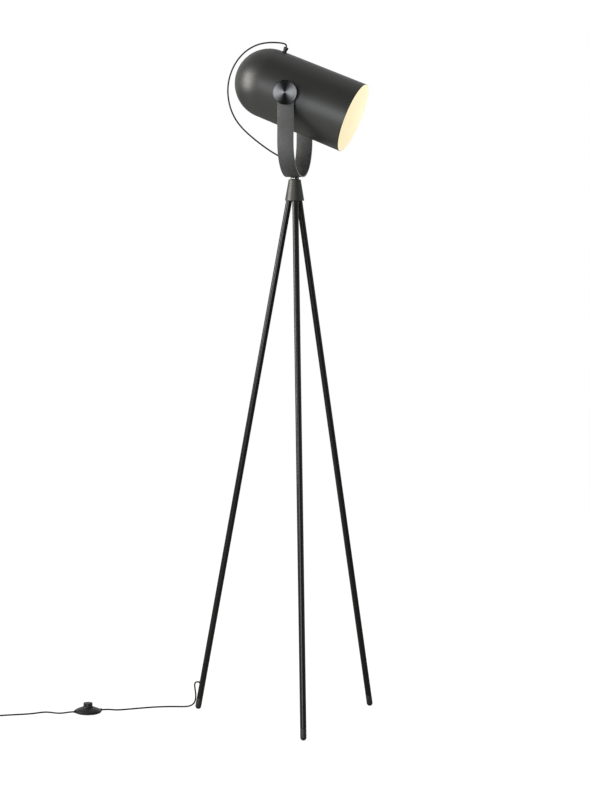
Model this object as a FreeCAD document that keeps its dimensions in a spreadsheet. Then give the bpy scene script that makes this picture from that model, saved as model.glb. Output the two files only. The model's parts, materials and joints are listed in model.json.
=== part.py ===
import FreeCAD, Part
import math
import os
import Sketcher
from types import SimpleNamespace

# Tripod spotlight floor lamp, millimetres, +Z up.
# The origin is the middle of the footprint on the floor, so the upright axis of the
# tripod stands a quarter of the foot circle's radius behind it. The front leg points to -Y.

SIZES = {
    # tripod
    "foot_circle": 232.0,       # radius on which the three rounded feet stand
    "leg_spread": 13.279,       # from the tripod's axis out to each leg's, at the hub's underside
    "leg_width": 14.0,
    "leg_wall": 1.2,
    "cap_length": 26.0,
    "cap_spigot": 18.0,
    "foot_flat": 2.5,           # radius of the small flat under each foot
    "hub_base": 1176.0,
    "hub_height": 47.5,
    "hub_top_width": 27.5,
    "hub_base_width": 43.5,
    "hub_edge": 0.6,            # chamfer on the hub's two rims
    "hub_bore": 12.0,           # lead passage below the thread
    "hub_thread_depth": 18.0,
    "leg_grip": 16.0,           # how far a leg goes up into the hub
    "socket_depth": 29.0,
    # hollow swivel stud and what is on it
    "stud_width": 10.0,
    "stud_bore": 7.0,
    "neck_width": 19.5,
    "neck_height": 5.0,
    "clamp_washer_width": 17.0,
    "clamp_washer_height": 1.5,
    "clamp_nut_flats": 14.0,
    "clamp_nut_height": 4.5,
    "bushing_rim_width": 11.0,
    "bushing_rim_height": 2.5,
    "bushing_plug": 6.0,
    # yoke
    "yoke_drop": 184.5,         # from the tilt axis down to the underside of the strap
    "arm_gap": 5.53,            # between the shade's wall and the inner face of an arm
    "strap_width": 37.0,
    "strap_wall": 3.0,
    "strap_flat": 6.0,          # half of the flat seat at the bottom of the bend
    "strap_above": 18.6,        # how far an arm rises past the tilt axis
    "strap_corner": 14.0,       # rounding of the arm ends
    "head_azimuth": -21.6,
    "head_dip": 21.6,
    # shade
    "dome_radius": 78.0,
    "mouth_radius": 79.5,
    "shade_wall": 1.5,
    "dome_back": 64.8,          # from the tilt axis back to the dome's centre
    "mouth_front": 143.3,       # from the tilt axis forward to the mouth
    # tilt bolts, spacers, washers and knobs
    "bolt_width": 8.0,
    "bolt_head_width": 13.0,
    "bolt_head_height": 4.5,
    "spacer_width": 16.0,
    "washer_width": 30.0,
    "washer_height": 0.8,
    "knob_width": 54.5,
    "knob_height": 7.0,
    "knob_edge": 0.8,
    "knob_thread": 5.0,
    # cross bracket inside the shade
    "bracket_gap": 1.13,        # between the bracket and the shade's wall where it is narrowest
    "bracket_wall": 2.0,
    "bracket_width": 20.0,
    "bracket_back": 60.0,       # from the tilt axis back to the cross piece
    "bracket_corner": 6.0,
    "bracket_end": 11.0,
    # lampholder and lamp
    "nipple_length": 16.0,
    "nipple_nut_flats": 14.0,
    "nipple_nut_height": 3.0,
    "holder_width": 38.0,
    "holder_cap_height": 16.0,
    "holder_sleeve_height": 29.5,
    "holder_wall": 2.5,
    "screw_shell_width": 29.0,
    "screw_shell_wall": 0.5,
    "screw_shell_height": 22.0,
    "contact_width": 8.0,
    "contact_height": 3.0,
    "lamp_cap_width": 26.4,
    "lamp_cap_height": 24.0,
    "lamp_body_width": 44.0,
    "lamp_body_height": 38.0,
    "lamp_globe_radius": 30.0,
    "lamp_length": 108.0,
    "globe_wall": 1.2,
    # cord grip on top of the shade
    "gland_back": 58.5,         # from the tilt axis back to the cord grip
    "gland_width": 9.0,
    "gland_height": 5.0,
    "gland_nut_width": 11.0,
    "gland_nut_height": 6.0,
    "gland_stem": 6.4,
    "gland_lock_flats": 10.0,
    "gland_lock_height": 2.5,
    "cord_rise": 4.95,          # from the shade's wall up to where the free lead starts
    # leads
    "cord_width": 3.6,
    "exit_height": 55.5,        # along the left leg, from the foot's centre to the lead's hole
    "grommet_width": 6.2,
    "grommet_proud": 0.8,
    # foot switch
    "switch_x": -457.0,
    "switch_back": 90.0,        # how far behind the tripod's axis line the switch lies
    "switch_turn": 15.0,
    "switch_width": 62.0,
    "switch_foot_width": 51.0,
    "switch_seam": 5.5,
    "switch_cover_top": 15.5,
    "switch_collar_width": 25.0,
    "switch_wall": 2.0,
    "switch_crown": 40.0,       # radius of the cover's slope
    "button_width": 21.0,
    "button_top": 24.5,
    "button_travel": 4.0,
    "button_rest": 0.5,         # left under the flange when the button is down
    "button_flange": 1.6,
    "button_lip": 1.1,          # how far the flange reaches past the cover's hole
    "button_slack": 1.4,        # from the flange up to the cover's roof
    "button_wall": 2.0,
    "button_edge": 1.2,
    "relief_width": 6.6,
    "relief_reach": 33.0,
    "relief_length": 6.0,
    "spring_width": 9.0,
    "spring_wall": 1.0,
    "block_length": 24.0,
    "block_width": 16.0,
    # coil of spare lead and plug
    "coil_x": -708.0,
    "coil_back": 100.0,
    "coil_radius": 32.0,        # of the outermost turn, at the lead's middle
    "coil_step": 4.15,          # from one turn or layer to the next
    "coil_turns": 10.25,
    "plug_length": 36.0,
    "plug_width": 25.0,
    "plug_height": 13.6,
    "plug_nose_width": 16.0,
    "plug_round": 3.0,
    "plug_relief_length": 22.0,
    "plug_relief_width": 9.0,
    "plug_relief_tip": 5.4,
    "pin_width": 4.0,
    "pin_length": 19.0,
    "pin_spacing": 19.0,
    # clearances
    "slip": 0.1,                # around a fixed piece in its hole, on the radius
    "running": 0.05,            # around a turning piece in its bore, on the radius
    "turning_gap": 0.1,         # between flat faces that turn on each other
    "air": 0.3,                 # between pieces that pass each other
}


class Size:
    """A length or angle that knows its value and how it follows from the named sizes."""

    def __init__(self, value, text=None):
        self.value = float(value)
        self.text = text or repr(float(value))

    @staticmethod
    def of(other):
        return other if isinstance(other, Size) else Size(other)

    def __add__(self, other):
        other = Size.of(other)
        return Size(self.value + other.value, f"({self.text} + {other.text})")

    def __sub__(self, other):
        other = Size.of(other)
        return Size(self.value - other.value, f"({self.text} - {other.text})")

    def __mul__(self, other):
        other = Size.of(other)
        return Size(self.value * other.value, f"({self.text} * {other.text})")

    def __truediv__(self, other):
        other = Size.of(other)
        return Size(self.value / other.value, f"({self.text} / {other.text})")

    def __radd__(self, other):
        return Size.of(other) + self

    def __rsub__(self, other):
        return Size.of(other) - self

    def __rmul__(self, other):
        return Size.of(other) * self

    def __neg__(self):
        return Size(0) - self

    def __float__(self):
        return self.value


doc = FreeCAD.newDocument("tripod_spotlight")
sheet = doc.addObject("Spreadsheet::Sheet", "sizes")
for row, (name, number) in enumerate(SIZES.items(), start=1):
    sheet.set(f"A{row}", str(number))
    sheet.setAlias(f"A{row}", name)
doc.recompute()
d = SimpleNamespace(**{name: Size(sheet.get(name), f"sizes.{name}") for name in SIZES})

parts = []          # every object that is written out, in the order it was made


# ---------------------------------------------------------------- frames

def vector(x, y, z):
    return FreeCAD.Vector(float(x), float(y), float(z))


def unit(azimuth, rise=0.0):
    """Unit vector at an azimuth and a rise above the horizon, in degrees."""
    a, r = math.radians(float(azimuth)), math.radians(float(rise))
    return vector(math.cos(r) * math.cos(a), math.cos(r) * math.sin(a), math.sin(r))


def frame(origin, x_axis, z_axis):
    """Placement whose local Z and X run along the given directions."""
    return FreeCAD.Placement(origin, FreeCAD.Rotation(x_axis, z_axis.cross(x_axis), z_axis, "ZXY"))


def shifted(place, x=0, y=0, z=0):
    """The same frame with its origin moved along its own axes."""
    return place.multiply(FreeCAD.Placement(vector(x, y, z), FreeCAD.Rotation()))


UP = vector(0, 0, 1)
tripod_back = d.foot_circle / 4
axis_foot = vector(0, tripod_back, 0)

foot_radius = d.leg_width / 2
foot_sink = float(foot_radius) - math.sqrt(float(foot_radius) ** 2 - float(d.foot_flat) ** 2)
foot_centre = float(foot_radius) - foot_sink
lean = math.atan2(float(d.foot_circle - d.leg_spread), float(d.hub_base) - foot_centre)

leg_azimuth = {"front": -90.0, "right": 30.0, "left": 150.0}


def leg_frame(azimuth):
    """Origin at the centre of the rounded foot, Z up the leg, X away from the tripod's axis."""
    outward = unit(azimuth)
    upward = outward * -math.sin(lean) + UP * math.cos(lean)
    side = outward * math.cos(lean) + UP * math.sin(lean)
    return frame(axis_foot + outward * float(d.foot_circle) + UP * foot_centre, side, upward)


def on_axis(height):
    return FreeCAD.Placement(axis_foot + UP * float(height), FreeCAD.Rotation())


hub_top = d.hub_base + d.hub_height
strap_under = hub_top + d.neck_height + d.turning_gap
pivot_height = strap_under + d.yoke_drop
pivot = axis_foot + UP * float(pivot_height)

forward = unit(d.head_azimuth)
yoke_frame = frame(pivot, forward, UP)
head_axis = unit(d.head_azimuth, -d.head_dip)
head_up = unit(d.head_azimuth, 90 - d.head_dip)
head_frame = frame(pivot, head_up, head_axis)
near_side = head_axis.cross(head_up)
side_frames = {"near": frame(pivot, head_up, near_side), "far": frame(pivot, head_up, -near_side)}


# ---------------------------------------------------------------- makers

def finish(obj, label, place=None):
    obj.Label = label
    if place is not None:
        obj.Placement = place
    parts.append(obj)
    return obj


def origin_plane(body, role):
    return [item for item in body.Origin.OriginFeatures if item.Role == role][0]


def new_sketch(body, role, name):
    sketch = body.newObject("Sketcher::SketchObject", name)
    sketch.AttachmentSupport = [(origin_plane(body, role), "")]
    sketch.MapMode = "FlatFace"
    return sketch


def hold(sketch, kind, geometry, point, size):
    """Hold one coordinate of a point at a size that follows the sheet."""
    size = Size.of(size)
    if size.value == 0 and "sizes" not in size.text:
        axis = -2 if kind == "DistanceX" else -1
        sketch.addConstraint(Sketcher.Constraint("PointOnObject", geometry, point, axis))
        return
    index = sketch.addConstraint(Sketcher.Constraint(kind, -1, 1, geometry, point, size.value))
    if "sizes" in size.text:
        sketch.setExpression(f"Constraints[{index}]", size.text)


def arc_between(start, end, radius, bulge):
    """Short arc from start to end. Bulge is 'left' or 'right' of the way from start to end."""
    chord = end - start
    side = vector(-chord.y, chord.x, 0).normalize() * (1 if bulge == "left" else -1)
    middle = (start + end) * 0.5
    centre = middle - side * math.sqrt(max(radius ** 2 - (chord.Length / 2) ** 2, 0.0))
    angles = [math.atan2(point.y - centre.y, point.x - centre.x) for point in (start, end)]
    turns_left = bulge == "right"
    if not turns_left:
        angles.reverse()
    circle = Part.Circle(centre, UP, radius)
    if angles[1] < angles[0]:
        angles[1] += 2 * math.pi
    return Part.ArcOfCircle(circle, angles[0], angles[1]), turns_left


def outline(body, items, role="XZ_Plane"):
    """Closed outline of points (x, y). An item (radius, 'left' or 'right') bends the side there."""
    corners, bends = [], {}
    for item in items:
        if item[1] in ("left", "right"):
            bends[len(corners) - 1] = item
        else:
            corners.append(item)
    sketch = new_sketch(body, role, "outline")
    ends = []
    for index, corner in enumerate(corners):
        following = corners[(index + 1) % len(corners)]
        start, end = vector(*corner, 0), vector(*following, 0)
        if index in bends:
            radius, bulge = bends[index]
            curve, forwards = arc_between(start, end, float(radius), bulge)
            ends.append((1, 2) if forwards else (2, 1))
        else:
            curve = Part.LineSegment(start, end)
            ends.append((1, 2))
        sketch.addGeometry(curve)
    for index, corner in enumerate(corners):
        following = (index + 1) % len(corners)
        sketch.addConstraint(
            Sketcher.Constraint("Coincident", index, ends[index][1], following, ends[following][0]))
    for index, corner in enumerate(corners):
        hold(sketch, "DistanceX", index, ends[index][0], corner[0])
        hold(sketch, "DistanceY", index, ends[index][0], corner[1])
    for index, (radius, bulge) in bends.items():
        radius = Size.of(radius)
        at = sketch.addConstraint(Sketcher.Constraint("Radius", index, radius.value))
        if "sizes" in radius.text:
            sketch.setExpression(f"Constraints[{at}]", radius.text)
    return sketch


def new_body(label):
    return doc.addObject("PartDesign::Body", label)


def revolve(body, items):
    sketch = outline(body, items)
    turn = body.newObject("PartDesign::Revolution", "turn")
    turn.Profile = sketch
    turn.ReferenceAxis = (sketch, ["V_Axis"])
    turn.Angle = 360
    sketch.Visibility = False
    return turn


def turned(label, place, items):
    """A piece turned about its own Z axis from an outline of (radius, height) points."""
    body = new_body(label)
    revolve(body, items)
    return finish(body, label, place)


def ring(label, place, inner, outer, bottom, top):
    """A plain tube or washer about its own Z axis."""
    return turned(label, place, [(inner, bottom), (outer, bottom), (outer, top), (inner, top)])


def pad(body, items, role, length):
    """Pad an outline by a length, half to each side of its plane."""
    feature = body.newObject("PartDesign::Pad", "pad")
    feature.Profile = outline(body, items, role)
    feature.SideType = "Symmetric"
    feature.Length = float(length)
    feature.setExpression("Length", Size.of(length).text)
    return feature


def bore(body, width, role, x=0, y=0, side="both"):
    """Bore a round hole square to a plane of the body, through all on one side or on both."""
    doc.recompute()
    before = body.Shape.Volume
    sketch = new_sketch(body, role, "hole")
    sketch.addGeometry(Part.Circle(vector(x, y, 0), UP, float(width) / 2))
    hold(sketch, "DistanceX", 0, 3, x)
    hold(sketch, "DistanceY", 0, 3, y)
    at = sketch.addConstraint(Sketcher.Constraint("Diameter", 0, float(width)))
    sketch.setExpression(f"Constraints[{at}]", Size.of(width).text)
    cut = body.newObject("PartDesign::Pocket", "hole")
    cut.Profile = sketch
    cut.Type = "ThroughAll"
    cut.SideType = "Symmetric" if side == "both" else "One side"
    cut.Reversed = side == "positive"
    doc.recompute()
    if body.Shape.Volume > before - 0.1:
        raise RuntimeError(f"a hole in {body.Label} cuts nothing")
    return cut


def fillet(body, edges, radius):
    base = body.Tip
    feature = body.newObject("PartDesign::Fillet", "fillet")
    feature.Base = (base, edges)
    feature.Radius = float(radius)
    feature.setExpression("Radius", radius.text)
    return feature


def primitive(kind, name, place, **sizes):
    item = doc.addObject(f"Part::{kind}", name)
    for key, size in sizes.items():
        if isinstance(size, int):
            setattr(item, key, size)
            continue
        size = Size.of(size)
        setattr(item, key, size.value)
        if "sizes" in size.text:
            item.setExpression(key, size.text)
    item.Placement = place
    return item


def cut_by(label, base, tools):
    """The base with every tool taken away. The base is no longer a part of its own."""
    if base in parts:
        parts.remove(base)
    base.Label = label + "_blank"
    for index, tool in enumerate(tools):
        cut = doc.addObject("Part::Cut", f"{label}_cut{index}")
        cut.Base = base
        cut.Tool = tool
        base = cut
    return finish(base, label)


def hexagon(label, place, flats, bored, bottom, height):
    """A hexagon nut about its own Z axis."""
    blank = primitive("Prism", label + "_hex", shifted(place, z=bottom), Polygon=6,
                      Circumradius=flats / (2 * math.cos(math.pi / 6)), Height=height)
    hole = primitive("Cylinder", label + "_hole", shifted(place, z=bottom),
                     Radius=bored / 2, Height=height)
    return cut_by(label, blank, [hole])


# ---------------------------------------------------------------- leads

BEND_SHARE = 0.45       # share of the shorter run that a bend takes


def bend_arc(start, direction, end):
    """Arc from start, leaving along direction, to end."""
    chord = end - start
    along = chord * (1 / chord.Length)
    sideways = direction - along * direction.dot(along)
    if sideways.Length < 1e-7:
        return Part.LineSegment(start, end)
    sideways.normalize()
    lift = chord.Length / 2 * math.tan(direction.getAngle(along) / 2)
    return Part.Arc(start, (start + end) * 0.5 + sideways * lift, end)


def route_edges(points):
    """Straight runs joined by tangent arcs, each as large as its two runs allow."""
    edges, radii, at = [], [], points[0]
    for before, corner, after in zip(points, points[1:], points[2:]):
        run_in, run_out = corner - before, after - corner
        cut_back = BEND_SHARE * min(run_in.Length, run_out.Length)
        half_turn = run_in.getAngle(run_out) / 2
        radii.append(cut_back / math.tan(half_turn))
        bend_start = corner - run_in * (cut_back / run_in.Length)
        bend_end = corner + run_out * (cut_back / run_out.Length)
        edges.append(Part.LineSegment(at, bend_start).toShape())
        edges.append(bend_arc(bend_start, run_in * (1 / run_in.Length), bend_end).toShape())
        at = bend_end
    edges.append(Part.LineSegment(at, points[-1]).toShape())
    return edges, radii


def swept(label, edges, start, direction):
    """A round lead along a path, as one solid."""
    width = float(d.cord_width)
    path = Part.Wire(edges)
    section = Part.Wire([Part.Circle(start, direction, width / 2).toShape()])
    shape = path.makePipeShell([section], True, False)
    expected = math.pi * width ** 2 / 4 * path.Length
    if abs(shape.Volume / expected - 1) > 0.01:
        raise RuntimeError(f"{label}: volume {shape.Volume:.0f} is not section times length {expected:.0f}")
    lead = doc.addObject("Part::Feature", label)
    lead.Shape = shape
    lead.Placement = FreeCAD.Placement()
    print(f"{label}: length {path.Length:.0f}, volume {shape.Volume:.0f}")
    return finish(lead, label)


def lead(label, points):
    edges, radii = route_edges(points)
    print(f"{label}: bend radii", " ".join(f"{radius:.0f}" for radius in radii))
    return swept(label, edges, points[0], points[1] - points[0])


# ---------------------------------------------------------------- tripod

cap_shoulder = d.cap_length - foot_radius
leg_bore = foot_radius - d.leg_wall
leg_top = (float(d.hub_base + d.leg_grip) - foot_centre) / math.cos(lean)
socket_top = (float(d.hub_base + d.socket_depth) - foot_centre) / math.cos(lean)
socket_start = (float(d.hub_base) - foot_centre) / math.cos(lean) - float(d.hub_edge) - 8

hub_blank = turned("hub", on_axis(d.hub_base), [
    (d.hub_bore / 2, 0),
    (d.hub_base_width / 2 - d.hub_edge, 0),
    (d.hub_base_width / 2, d.hub_edge),
    (d.hub_top_width / 2, d.hub_height - d.hub_edge),
    (d.hub_top_width / 2 - d.hub_edge, d.hub_height),
    (d.stud_width / 2 + d.slip, d.hub_height),
    (d.stud_width / 2 + d.slip, d.hub_height - d.hub_thread_depth),
    (d.hub_bore / 2, d.hub_height - d.hub_thread_depth),
])
sockets = [primitive("Cylinder", f"socket_{name}", shifted(leg_frame(azimuth), z=socket_start),
                     Radius=foot_radius + d.slip, Height=socket_top - socket_start)
           for name, azimuth in leg_azimuth.items()]
cut_by("hub", hub_blank, sockets)

for name, azimuth in leg_azimuth.items():
    place = leg_frame(azimuth)
    leg = new_body(f"leg_{name}")
    revolve(leg, [(leg_bore, cap_shoulder), (foot_radius, cap_shoulder),
                  (foot_radius, leg_top), (leg_bore, leg_top)])
    if name == "left":
        bore(leg, d.grommet_width + 2 * d.slip, "YZ_Plane", 0, d.exit_height, "positive")
    finish(leg, f"leg_{name}", place)

    cap = turned(f"foot_cap_{name}", place, [
        (0, -foot_radius),
        (foot_radius, "right"),
        (foot_radius, 0),
        (foot_radius, cap_shoulder),
        (leg_bore - d.slip, cap_shoulder),
        (leg_bore - d.slip, cap_shoulder + d.cap_spigot),
        (0, cap_shoulder + d.cap_spigot),
    ])
    below = primitive("Box", f"below_{name}", FreeCAD.Placement(
        place.Base - vector(d.leg_width, d.leg_width, d.leg_width + foot_centre), FreeCAD.Rotation()),
        Length=2 * d.leg_width, Width=2 * d.leg_width, Height=d.leg_width)
    cut_by(f"foot_cap_{name}", cap, [below])

# the hollow stud is screwed into the hub and carries the yoke
strap_top = strap_under + d.strap_wall
washer_under = strap_top + d.turning_gap
nut_under = washer_under + d.clamp_washer_height
stud_top = nut_under + d.clamp_nut_height
stud_foot = hub_top - d.hub_thread_depth

ring("swivel_stud", on_axis(stud_foot), d.stud_bore / 2, d.stud_width / 2, 0, stud_top - stud_foot)
ring("neck_collar", on_axis(hub_top), d.stud_width / 2 + d.slip, d.neck_width / 2, 0, d.neck_height)
ring("clamp_washer", on_axis(washer_under), d.stud_width / 2 + d.slip, d.clamp_washer_width / 2,
     0, d.clamp_washer_height)
hexagon("clamp_nut", on_axis(0), d.clamp_nut_flats, d.stud_width + 2 * d.slip,
        nut_under, d.clamp_nut_height)

cord_hole = d.cord_width / 2 + d.slip
turned("lead_bushing", on_axis(stud_top), [
    (cord_hole, -d.bushing_plug),
    (d.stud_bore / 2 - d.slip, -d.bushing_plug),
    (d.stud_bore / 2 - d.slip, 0),
    (d.bushing_rim_width / 2, 0),
    (d.bushing_rim_width / 2 - 1, d.bushing_rim_height),
    (cord_hole + 1, d.bushing_rim_height),
    (cord_hole, 0),
])

left = leg_frame(leg_azimuth["left"])
grommet_outer = foot_radius + d.grommet_proud
grommet_inner = leg_bore - 1
ring("lead_grommet", frame(left.multVec(vector(0, 0, d.exit_height)),
                           left.Rotation.multVec(vector(0, 0, 1)),
                           left.Rotation.multVec(vector(1, 0, 0))),
     cord_hole, d.grommet_width / 2, grommet_inner, grommet_outer)

# lead inside the stud, the hub and the left leg, out through the grommet
cord_seat = stud_top                 # where the free lead meets the lead in the stud
inside_back = -(leg_bore - d.cord_width / 2 - d.air)
lead("lead_in_leg", [
    axis_foot + UP * float(cord_seat),
    axis_foot + UP * (float(stud_foot) - 2),
    left.multVec(vector(0, 0, leg_top - 4)),
    left.multVec(vector(0, 0, leg_top * 0.5)),
    left.multVec(vector(inside_back, 0, d.exit_height + 90)),
    left.multVec(vector(inside_back, 0, d.exit_height)),
    left.multVec(vector(grommet_outer, 0, d.exit_height)),
])


# ---------------------------------------------------------------- yoke

# the barrel widens a little towards the mouth, and what is bolted to its wall follows it
flare = (d.mouth_radius - d.dome_radius) / (d.mouth_front + d.dome_back)
wall_at_bolt = d.dome_radius + flare * d.dome_back
wall_at_gland = d.dome_radius + flare * (d.dome_back - d.gland_back)
cord_start = wall_at_gland + d.cord_rise
yoke_half = wall_at_bolt + d.arm_gap
wall_at_bracket = [d.dome_radius + flare * (d.dome_back - d.bracket_back - d.bracket_wall),
                   d.dome_radius + flare * (d.dome_back + d.bracket_end)]
bracket_half = min(wall_at_bracket, key=float) - d.shade_wall - d.bracket_gap

arm_outer = yoke_half + d.strap_wall
bend_outer = arm_outer - d.strap_flat
bend_inner = bend_outer - d.strap_wall
bend_height = bend_outer - d.yoke_drop

yoke = new_body("yoke_strap")
strap = pad(yoke, [
    (arm_outer, d.strap_above),
    (yoke_half, d.strap_above),
    (yoke_half, bend_height),
    (bend_inner, "left"),
    (d.strap_flat, d.strap_wall - d.yoke_drop),
    (-d.strap_flat, d.strap_wall - d.yoke_drop),
    (bend_inner, "left"),
    (-yoke_half, bend_height),
    (-yoke_half, d.strap_above),
    (-arm_outer, d.strap_above),
    (-arm_outer, bend_height),
    (bend_outer, "right"),
    (-d.strap_flat, -d.yoke_drop),
    (d.strap_flat, -d.yoke_drop),
    (bend_outer, "right"),
    (arm_outer, bend_height),
], "YZ_Plane", d.strap_width)
bore(yoke, d.bolt_width + 2 * d.running, "XZ_Plane")
bore(yoke, d.stud_width + 2 * d.running, "XY_Plane", side="negative")
arm_corners = [f"Edge{index}" for index, edge in enumerate(yoke.Shape.Edges, start=1)
               if len(edge.Vertexes) == 2
               and all(abs(vertex.Z - float(d.strap_above)) < 1e-6
                       and abs(abs(vertex.X) - float(d.strap_width) / 2) < 1e-6
                       for vertex in edge.Vertexes)
               and abs(edge.Length - float(d.strap_wall)) < 1e-6]
fillet(yoke, arm_corners, d.strap_corner)
finish(yoke, "yoke_strap", yoke_frame)


# ---------------------------------------------------------------- head

inner_dome = d.dome_radius - d.shade_wall
inner_mouth = d.mouth_radius - d.shade_wall

shade = new_body("shade")
revolve(shade, [
    (0, -d.dome_back - d.dome_radius),
    (d.dome_radius, "right"),
    (d.dome_radius, -d.dome_back),
    (d.mouth_radius, d.mouth_front),
    (inner_mouth, d.mouth_front),
    (inner_dome, -d.dome_back),
    (inner_dome, "left"),
    (0, -d.dome_back - inner_dome),
])
bore(shade, d.bolt_width + 2 * d.slip, "XZ_Plane")
bore(shade, d.gland_stem + 2 * d.slip, "YZ_Plane", 0, -d.gland_back, "positive")
finish(shade, "shade", head_frame)

bracket = new_body("lamp_bracket")
bracket_inner = bracket_half - d.bracket_wall
corner_inner = d.bracket_corner - d.bracket_wall
cross_back = -d.bracket_back - d.bracket_wall
pad(bracket, [
    (bracket_half, d.bracket_end),
    (bracket_inner, d.bracket_end),
    (bracket_inner, cross_back + d.bracket_corner),
    (corner_inner, "left"),
    (bracket_inner - corner_inner, -d.bracket_back),
    (corner_inner - bracket_inner, -d.bracket_back),
    (corner_inner, "left"),
    (-bracket_inner, cross_back + d.bracket_corner),
    (-bracket_inner, d.bracket_end),
    (-bracket_half, d.bracket_end),
    (-bracket_half, cross_back + d.bracket_corner),
    (d.bracket_corner, "right"),
    (d.bracket_corner - bracket_half, cross_back),
    (bracket_half - d.bracket_corner, cross_back),
    (d.bracket_corner, "right"),
    (bracket_half, cross_back + d.bracket_corner),
], "YZ_Plane", d.bracket_width)
bore(bracket, d.bolt_width + 2 * d.slip, "XZ_Plane")
bore(bracket, d.stud_width + 2 * d.slip, "XY_Plane", side="negative")
finish(bracket, "lamp_bracket", head_frame)

spacer_start = wall_at_bolt + d.slip
washer_start = arm_outer + d.turning_gap
knob_start = washer_start + d.washer_height
for side, place in side_frames.items():
    turned(f"tilt_bolt_{side}", place, [
        (0, bracket_inner - d.bolt_head_height),
        (d.bolt_head_width / 2, bracket_inner - d.bolt_head_height),
        (d.bolt_head_width / 2, bracket_inner),
        (d.bolt_width / 2, bracket_inner),
        (d.bolt_width / 2, knob_start + d.knob_thread),
        (0, knob_start + d.knob_thread),
    ])
    ring(f"arm_spacer_{side}", place, d.bolt_width / 2 + d.slip, d.spacer_width / 2,
         spacer_start, yoke_half - d.turning_gap)
    ring(f"friction_washer_{side}", place, d.bolt_width / 2 + d.slip, d.washer_width / 2,
         washer_start, knob_start)
    turned(f"knob_{side}", place, [
        (d.bolt_width / 2 + d.running, knob_start + d.turning_gap),
        (d.knob_width / 2 - d.knob_edge, knob_start + d.turning_gap),
        (d.knob_width / 2, knob_start + d.turning_gap + d.knob_edge),
        (d.knob_width / 2, knob_start + d.knob_height - d.knob_edge),
        (d.knob_width / 2 - d.knob_edge, knob_start + d.knob_height),
        (0, knob_start + d.knob_height),
        (0, knob_start + d.knob_thread + d.air),
        (d.bolt_width / 2 + d.running, knob_start + d.knob_thread + d.air),
    ])

# the cord grip sits at the joint of dome and barrel, square to the wall
gland_frame = frame(head_frame.multVec(vector(0, 0, -d.gland_back)), head_axis, head_up)
gland_seat = wall_at_gland + d.slip
gland_shoulder = gland_seat + d.gland_height
gland_top = gland_shoulder + d.gland_nut_height
gland_foot = wall_at_gland - d.shade_wall - d.gland_lock_height - 1
turned("gland_body", gland_frame, [
    (cord_hole, gland_foot),
    (d.gland_stem / 2, gland_foot),
    (d.gland_stem / 2, gland_seat),
    (d.gland_width / 2, gland_seat),
    (d.gland_width / 2, gland_shoulder),
    (cord_hole, gland_shoulder),
])
turned("gland_nut", gland_frame, [
    (cord_hole + 0.6, gland_shoulder),
    (d.gland_nut_width / 2, gland_shoulder),
    (d.gland_nut_width / 2, gland_top - 1),
    (d.gland_nut_width / 2 - 1, gland_top),
    (cord_hole + 1.2, gland_top),
    (cord_hole + 0.6, gland_top - 1),
])
hexagon("gland_lock_nut", gland_frame, d.gland_lock_flats, d.gland_stem + 2 * d.slip,
        gland_foot + 0.5, d.gland_lock_height)

# lampholder on the cross piece, and the lamp in it
holder_back = -d.bracket_back
nipple_back = cross_back - d.nipple_nut_height - 3
cap_front = holder_back + d.holder_cap_height
sleeve_front = cap_front + d.holder_sleeve_height
ring("holder_nipple", shifted(head_frame, z=nipple_back), d.stud_bore / 2, d.stud_width / 2,
     0, d.nipple_length)
hexagon("holder_nut", head_frame, d.nipple_nut_flats, d.stud_width + 2 * d.slip,
        cross_back - d.nipple_nut_height, d.nipple_nut_height)
turned("holder_cap", head_frame, [
    (d.stud_width / 2 + d.slip, holder_back),
    (d.holder_width / 2 - 4, holder_back),
    (4, "right"),
    (d.holder_width / 2, holder_back + 4),
    (d.holder_width / 2, cap_front),
    (d.holder_width / 2 - d.holder_wall, cap_front),
    (d.holder_width / 2 - d.holder_wall, holder_back + d.holder_wall + 3),
    (d.stud_width / 2 + d.slip, holder_back + d.holder_wall + 3),
])
contact_back = cap_front + d.holder_wall
turned("holder_sleeve", head_frame, [
    (0, cap_front),
    (d.holder_width / 2, cap_front),
    (d.holder_width / 2, sleeve_front),
    (d.screw_shell_width / 2 + d.slip, sleeve_front),
    (d.screw_shell_width / 2 + d.slip, contact_back),
    (0, contact_back),
])
ring("holder_contact", head_frame, 1, d.contact_width / 2, contact_back,
     contact_back + d.contact_height)
shell_back = contact_back + d.contact_height + 1
ring("screw_shell", head_frame, d.screw_shell_width / 2 - d.screw_shell_wall,
     d.screw_shell_width / 2, shell_back, shell_back + d.screw_shell_height)

lamp_back = contact_back + d.contact_height + d.slip
lamp_cap_front = lamp_back + d.lamp_cap_height
lamp_body_front = lamp_cap_front + d.lamp_body_height
turned("lamp_cap", head_frame, [
    (0, lamp_back),
    (d.contact_width / 2, lamp_back),
    (d.lamp_cap_width / 2 - 2, lamp_back + 3),
    (d.lamp_cap_width / 2, lamp_back + 4.5),
    (d.lamp_cap_width / 2, lamp_cap_front),
    (0, lamp_cap_front),
])
turned("lamp_body", head_frame, [
    (0, lamp_cap_front),
    (d.lamp_cap_width / 2 + 1, lamp_cap_front),
    (d.lamp_body_width / 2, lamp_body_front - 6),
    (d.lamp_body_width / 2, lamp_body_front),
    (0, lamp_body_front),
])
lamp_front = lamp_back + d.lamp_length
globe_centre = lamp_front - d.lamp_globe_radius
globe_inner = d.lamp_globe_radius - d.globe_wall
turned("lamp_globe", head_frame, [
    (d.lamp_body_width / 2, lamp_body_front),
    (d.lamp_globe_radius, "right"),
    (d.lamp_globe_radius, globe_centre),
    (d.lamp_globe_radius, "right"),
    (0, lamp_front),
    (0, lamp_front - d.globe_wall),
    (globe_inner, "left"),
    (globe_inner, globe_centre),
    (globe_inner, "left"),
    (d.lamp_body_width / 2 - d.globe_wall, lamp_body_front),
])


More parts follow.
